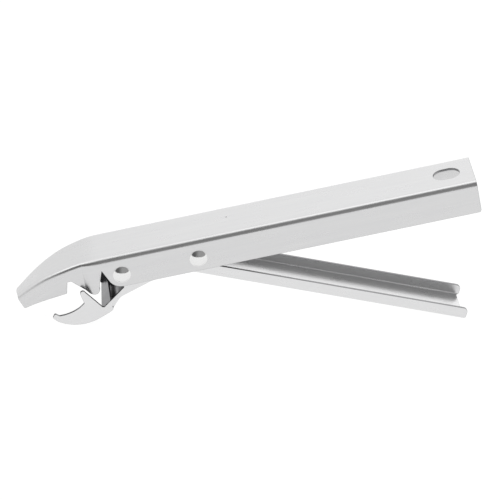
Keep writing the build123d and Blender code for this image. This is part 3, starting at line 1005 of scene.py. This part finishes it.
def surround_light(stage):
    """A white room that is lighter to the right and overhead, with one grey wall of screens
    above and behind the camera that the folded edges and the rivets' tops reflect."""
    world = bpy.data.worlds.new("studio_room")
    world.use_nodes = True
    tree = world.node_tree
    tree.nodes.clear()
    toward = add_node(tree, "ShaderNodeTexCoord").outputs["Generated"]
    sideways = add_node(tree, "ShaderNodeSeparateXYZ", (), {"Vector": toward}).outputs["X"]
    walls = light_across(tree, sideways, ROOM_TURN, stage.room_light, ROOM_SHARES)
    overhead = light_patch(tree, toward, heading(OVERHEAD_AZIMUTH, OVERHEAD_ELEVATION),
                           OVERHEAD_REACH, OVERHEAD_FADE)
    room = add_node(tree, "ShaderNodeMath", {"operation": "MULTIPLY_ADD"},
                    {0: overhead, 1: stage.overhead_light, 2: walls}).outputs[0]
    screens = light_across(tree, sideways, SCREEN_TURN, stage.screen_light, SCREEN_SHARES)
    screened = light_patch(tree, toward, heading(stage.screen_azimuth, stage.screen_elevation),
                           stage.screen_reach, stage.screen_fade, SCREEN_WIDENING)
    seen = add_node(tree, "ShaderNodeLightPath").outputs["Is Camera Ray"]
    unseen = add_node(tree, "ShaderNodeMath", {"operation": "SUBTRACT"}, {0: 1.0, 1: seen}).outputs[0]
    share = add_node(tree, "ShaderNodeMath", {"operation": "MULTIPLY"}, {0: screened, 1: unseen}).outputs[0]
    light = add_node(tree, "ShaderNodeMix", {"data_type": "FLOAT"},
                     {"Factor": share, "A": room, "B": screens}).outputs[0]
    background = add_node(tree, "ShaderNodeBackground", (), {"Color": light, "Strength": 1.0})
    add_node(tree, "ShaderNodeOutputWorld", (), {"Surface": background.outputs["Background"]})
    bpy.context.scene.world = world


def add_softbox(name, azimuth, elevation, distance, size, power):
    """A square soft light that faces the tool from a direction round it."""
    light = bpy.data.lights.new(name, "AREA")
    light.shape = "SQUARE"
    light.size = size
    light.energy = power
    lamp = put_in_scene(name, light)
    back = heading(azimuth, elevation)
    lamp.location = (cad_box[0] + cad_box[1]) / 2 + back * distance
    lamp.rotation_euler = (-back).to_track_quat("-Z", "Y").to_euler()


def set_camera(stage):
    """A long lens from the near side, a little above and turned slightly about its axis."""
    camera = bpy.data.cameras.new("studio_camera")
    camera.sensor_width = 36.0
    camera.lens = stage.lens
    camera.clip_start, camera.clip_end = 0.1, 50.0
    back = heading(stage.camera_azimuth, stage.camera_elevation)
    seat = put_in_scene("studio_camera", camera)
    aim = (cad_box[0] + cad_box[1]) / 2 + Vector(stage.aim_offset)
    seat.location = aim + back * stage.camera_distance
    level = (-back).to_track_quat("-Z", "Y").to_matrix()
    seat.rotation_euler = (level @ Matrix.Rotation(stage.camera_roll, 3, "Z")).to_euler()
    bpy.context.scene.camera = seat


# ---- sizes and colours ----------------------------------------------------------------

def length_size(name, description, default):
    """A length that a user may change, in the frame's metres."""
    return FloatProperty(name=name, description=description, default=default, min=0.0,
                         unit="LENGTH", subtype="DISTANCE", precision=5)


def colour_choice(name, description, code):
    """A colour that a user may change, from its sRGB hex code."""
    return FloatVectorProperty(name=name, description=description, default=hex_colour(code),
                               min=0.0, max=1.0, size=3, subtype="COLOR")


class GripperHandleSizes(bpy.types.PropertyGroup):
    """Sizes of the pressed handle"""
    width: length_size("Width", "Across the handle's outer faces", box_width("upper_handle"))
    sheet: length_size("Sheet", "Thickness of the handle's steel", 1.1 * MM)
    bend: length_size("Fold radius", "Outer radius of the folded edges", 2.5 * MM)
    corner: length_size("Corner radius", "Rounding of the rear corners", 1.2 * MM)
    edge_radius: length_size("Edge radius", "Rounding that tumbling leaves on cut edges", 0.14 * MM)
    slot_length: length_size("Slot length", "Overall length of the hanging slot", 11.5 * MM)
    slot_width: length_size("Slot width", "Width of the hanging slot", 9.0 * MM)
    rivet_hole: length_size("Rivet hole", "Diameter of the rivet holes", 4.1 * MM)


class GripperClawSizes(bpy.types.PropertyGroup):
    """Sizes of the pressed claw"""
    width: length_size("Width", "Across the claw's outer faces", box_width("claw"))
    sheet: length_size("Sheet", "Thickness of the claw's steel", 1.0 * MM)
    bend: length_size("Fold radius", "Outer radius of the folded edges", 1.2 * MM)
    edge_radius: length_size("Edge radius", "Rounding that tumbling leaves on cut edges", 0.12 * MM)
    ear_radius: length_size("Ear radius", "Radius of the plates round the pivot", 4.6 * MM)
    pivot_hole: length_size("Pivot hole", "Diameter of the hole that turns on the sleeve", 6.1 * MM)


class GripperLeverSizes(bpy.types.PropertyGroup):
    """Sizes of the pressed lever"""
    width: length_size("Width", "Across the lever's outer faces", box_width("lower_lever"))
    sheet: length_size("Sheet", "Thickness of the lever's steel", 1.1 * MM)
    bend: length_size("Fold radius", "Outer radius of the folded edges", 1.5 * MM)
    wall: length_size("Wall height", "Height of the lever's side walls", 5.4 * MM)
    corner: length_size("Corner radius", "Rounding of the wall corners", 2.0 * MM)
    edge_radius: length_size("Edge radius", "Rounding that tumbling leaves on cut edges", 0.14 * MM)
    ear_radius: length_size("Ear radius", "Radius of the walls round the pivot", 5.2 * MM)
    finger_width: length_size("Finger width", "Width of the finger that presses the claw", 16.6 * MM)
    pivot_hole: length_size("Pivot hole", "Diameter of the hole that turns on the sleeve", 6.1 * MM)


class GripperPinSizes(bpy.types.PropertyGroup):
    """Sizes of the rivets, sleeves and spring"""
    head_radius: length_size("Head radius", "Radius of a rivet head", 3.8 * MM)
    head_height: length_size("Head height", "Height of a rivet's dome", 1.59 * MM)
    shank_radius: length_size("Shank radius", "Radius of a rivet's shank", 2.0 * MM)
    sleeve_radius: length_size("Sleeve radius", "Outer radius of a sleeve", 3.0 * MM)
    wire: length_size("Wire", "Diameter of the spring wire", 0.9 * MM)
    spring_radius: length_size("Coil radius", "Radius of the coil's middle line", 4.0 * MM)
    spring_leg: length_size("Leg length", "Length of each leg of the spring", 17.0 * MM)
    spring_turns: IntProperty(name="Turns", description="Full turns of the spring", default=3, min=1)


class GripperFinish(bpy.types.PropertyGroup):
    """Colours and surface finish of the steel"""
    steel_light: colour_choice("Steel, light lines", "Handle's steel where it is brightest", "D5D5D5")
    steel_dark: colour_choice("Steel, dark lines", "Handle's steel where it is darkest", "CFCFD0")
    satin_light: colour_choice("Satin, light lines", "Claw and lever where brightest", "DFDFDF")
    satin_dark: colour_choice("Satin, dark lines", "Claw and lever where darkest", "D9D9DA")
    # painted shade: darker colours for the claw's inner faces and bridge, standing in for the shade inside
    # the claw
    inner_shade_light: colour_choice("Painted inner shade, light", "Claw's inner faces where brightest", "949495")
    inner_shade_dark: colour_choice("Painted inner shade, dark", "Claw's inner faces where darkest", "848486")
    cut_light: colour_choice("Cut edge, light", "Burnished part of a cut edge", "A8A8A9")
    cut_dark: colour_choice("Cut edge, dark", "Torn part of a cut edge", "767678")
    rivet_light: colour_choice("Rivet, light", "Polished rivet where it is brightest", "EFEFEE")
    rivet_dark: colour_choice("Rivet, dark", "Polished rivet where it is darkest", "DCDCDC")
    wire_light: colour_choice("Wire, light", "Spring wire where it is brightest", "B4B4B5")
    wire_dark: colour_choice("Wire, dark", "Spring wire where it is darkest", "8B8B8E")
    brush_spacing: length_size("Line spacing", "Spacing of the brushed lines, as drawn", 0.4 * MM)
    brush_run: length_size("Line run", "Usual length of a brushed line", 22.0 * MM)
    brush_roughness: FloatProperty(name="Brushed roughness", description="Spread of the reflections",
                                   default=0.27, min=0.0, max=1.0, subtype="FACTOR")
    rivet_roughness: FloatProperty(name="Rivet roughness", description="Spread of the rivets' reflections",
                                   default=0.07, min=0.0, max=1.0, subtype="FACTOR")


class GripperStage(bpy.types.PropertyGroup):
    """Camera, light and table of the studio"""
    camera_azimuth: FloatProperty(name="Camera azimuth", description="Turn of the camera round the tool",
                                  default=math.radians(-7.65), subtype="ANGLE")
    camera_elevation: FloatProperty(name="Camera elevation", description="Height of the camera's view",
                                    default=math.radians(29.10), subtype="ANGLE")
    camera_roll: FloatProperty(name="Camera roll", description="Turn of the camera about its own axis",
                               default=math.radians(3.07), subtype="ANGLE")
    camera_distance: length_size("Camera distance", "From the camera to the tool", 1.6068)
    aim_offset: FloatVectorProperty(name="Aim offset", description="Aim from the middle of the tool",
                                    default=(0.56 * MM, -7.37 * MM, -0.39 * MM), subtype="TRANSLATION",
                                    unit="LENGTH")
    lens: FloatProperty(name="Lens", description="Focal length on a 36 mm sensor", default=270.7,
                        min=1.0, unit="CAMERA")
    floor_size: length_size("Table size", "Width of the studio table", 9.0)
    table_colour: colour_choice("Table", "Colour of the opal acrylic table", "505050")
    table_glow: FloatProperty(name="Table glow", description="Light that comes through the table",
                              default=0.97, min=0.0)
    card_colour: colour_choice("Card", "Colour of the black card", "2A2A2A")
    card_inset: length_size("Card inset", "From the tool's left end to the card", 0.010)
    card_length: length_size("Card length", "Length of the card along the tool", 0.032)
    room_light: FloatProperty(name="Room light", description="Brightness of the white room",
                              default=1.1, min=0.0)
    overhead_light: FloatProperty(name="Overhead light", description="Extra brightness overhead",
                                  default=0.6, min=0.0)
    screen_light: FloatProperty(name="Screen light", description="Brightness of the grey screens",
                                default=0.24, min=0.0)
    screen_azimuth: FloatProperty(name="Screen azimuth", description="Direction of the grey screens",
                                  default=math.radians(6), subtype="ANGLE")
    screen_elevation: FloatProperty(name="Screen elevation", description="Height of the grey screens",
                                    default=math.radians(34), subtype="ANGLE")
    screen_reach: FloatProperty(name="Screen reach", description="Half the angle that the screens fill",
                                default=math.radians(36), subtype="ANGLE")
    screen_fade: FloatProperty(name="Screen fade", description="Angle over which the screens fade out",
                               default=math.radians(16), subtype="ANGLE")
    softbox_power: FloatProperty(name="Softbox", description="Power of the left soft light",
                                 default=6.0, min=0.0, unit="POWER")


# ---- operators ------------------------------------------------------------------------

def fit_piece(piece, body, node):
    """Lets a piece move with a body and stand in the place of a CAD node."""
    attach(piece, body)
    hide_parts(node)


class GRIPPER_OT_press_handle(bpy.types.Operator):
    """Press the handle with its gripping nose, rivet holes and hanging slot"""
    bl_idname = "gripper.press_handle"
    bl_label = "Press Handle"

    def execute(self, context):
        piece = press_handle(context.scene.gripper_handle, material("brushed_stainless_steel"),
                             material("sheared_stainless_edge"))
        fit_piece(piece, "handle", "upper_handle")
        return {"FINISHED"}


class GRIPPER_OT_press_claw(bpy.types.Operator):
    """Press the hooked claw that turns on the front rivet"""
    bl_idname = "gripper.press_claw"
    bl_label = "Press Claw"

    def execute(self, context):
        # the third finish is a darker steel: painted shade on the claw's inner faces and bridge
        piece = press_claw(context.scene.gripper_claw, material("satin_stainless_steel"),
                           material("sheared_stainless_edge"), material("painted_shade_stainless"))
        fit_piece(piece, "claw", "claw")
        return {"FINISHED"}


class GRIPPER_OT_press_lever(bpy.types.Operator):
    """Press the squeeze lever that turns on the rear rivet"""
    bl_idname = "gripper.press_lever"
    bl_label = "Press Lever"

    def execute(self, context):
        piece = press_lever(context.scene.gripper_lever, material("satin_stainless_steel"),
                            material("sheared_stainless_edge"))
        fit_piece(piece, "lever", "lower_lever")
        return {"FINISHED"}


class GRIPPER_OT_set_rivets(bpy.types.Operator):
    """Set the two domed rivets through the handle"""
    bl_idname = "gripper.set_rivets"
    bl_label = "Set Rivets"

    def execute(self, context):
        half = context.scene.gripper_handle.width / MM / 2
        profile = rivet_profile(context.scene.gripper_pins, half)
        for name, node, pivot in (("set_front_rivet", "front_rivet", FRONT_PIVOT),
                                  ("set_rear_rivet", "rear_rivet", REAR_PIVOT)):
            piece = turn_profile(name, profile, pivot, material("polished_stainless_rivet"))
            fit_piece(piece, "handle", node)
        return {"FINISHED"}


class GRIPPER_OT_turn_sleeves(bpy.types.Operator):
    """Turn the two sleeves that the claw and the lever swing on"""
    bl_idname = "gripper.turn_sleeves"
    bl_label = "Turn Sleeves"

    def execute(self, context):
        handle = context.scene.gripper_handle
        profile = sleeve_profile(context.scene.gripper_pins, (handle.width / 2 - handle.sheet) / MM)
        for name, node, pivot in (("turned_front_sleeve", "front_sleeve", FRONT_PIVOT),
                                  ("turned_rear_sleeve", "rear_sleeve", REAR_PIVOT)):
            piece = turn_profile(name, profile, pivot, material("turned_stainless_sleeve"))
            fit_piece(piece, "handle", node)
        return {"FINISHED"}


class GRIPPER_OT_wind_spring(bpy.types.Operator):
    """Wind the return spring round the rear sleeve"""
    bl_idname = "gripper.wind_spring"
    bl_label = "Wind Spring"

    def execute(self, context):
        scene = context.scene
        piece = wind_spring(scene.gripper_pins, scene.gripper_handle.sheet / MM,
                            scene.gripper_lever.sheet / MM, material("drawn_stainless_wire"))
        fit_piece(piece, "handle", "return_spring")
        return {"FINISHED"}


class GRIPPER_OT_set_stage(bpy.types.Operator):
    """Lay the pale table and set the soft light and the camera"""
    bl_idname = "gripper.set_stage"
    bl_label = "Set Stage"

    def execute(self, context):
        stage = context.scene.gripper_stage
        lay_floor(stage)
        lay_shade_card(stage)
        surround_light(stage)
        add_softbox("left_softbox", math.radians(-75), math.radians(48), 2.6, 1.5, stage.softbox_power)
        set_camera(stage)
        context.scene.view_settings.view_transform = "Standard"
        return {"FINISHED"}


OPERATORS = (
    GRIPPER_OT_set_stage, GRIPPER_OT_press_handle, GRIPPER_OT_press_claw, GRIPPER_OT_press_lever,
    GRIPPER_OT_set_rivets, GRIPPER_OT_turn_sleeves, GRIPPER_OT_wind_spring,
)
SIZE_GROUPS = {
    "gripper_handle": GripperHandleSizes, "gripper_claw": GripperClawSizes,
    "gripper_lever": GripperLeverSizes, "gripper_pins": GripperPinSizes,
    "gripper_finish": GripperFinish, "gripper_stage": GripperStage,
}


class GRIPPER_PT_workshop(bpy.types.Panel):
    """The workshop's steps in order, with the sizes and colours that they use"""
    bl_idname = "GRIPPER_PT_workshop"
    bl_label = "Pan Gripper"
    bl_space_type = "VIEW_3D"
    bl_region_type = "UI"
    bl_category = "Pan Gripper"

    def draw(self, context):
        for operator in OPERATORS:
            self.layout.operator(operator.bl_idname)
        for attribute, group in SIZE_GROUPS.items():
            box = self.layout.box()
            box.label(text=group.__doc__)
            for name in group.__annotations__:
                box.prop(getattr(context.scene, attribute), name)


def register():
    for group in SIZE_GROUPS.values():
        bpy.utils.register_class(group)
    for attribute, group in SIZE_GROUPS.items():
        setattr(bpy.types.Scene, attribute, PointerProperty(type=group))
    for operator in OPERATORS:
        bpy.utils.register_class(operator)
    bpy.utils.register_class(GRIPPER_PT_workshop)


def unregister():
    bpy.utils.unregister_class(GRIPPER_PT_workshop)
    for operator in reversed(OPERATORS):
        bpy.utils.unregister_class(operator)
    for attribute, group in reversed(SIZE_GROUPS.items()):
        delattr(bpy.types.Scene, attribute)
        bpy.utils.unregister_class(group)


def main():
    register()
    for operator in OPERATORS:
        family, name = operator.bl_idname.split(".")
        getattr(getattr(bpy.ops, family), name)()


if __name__ == "__main__":
    main()
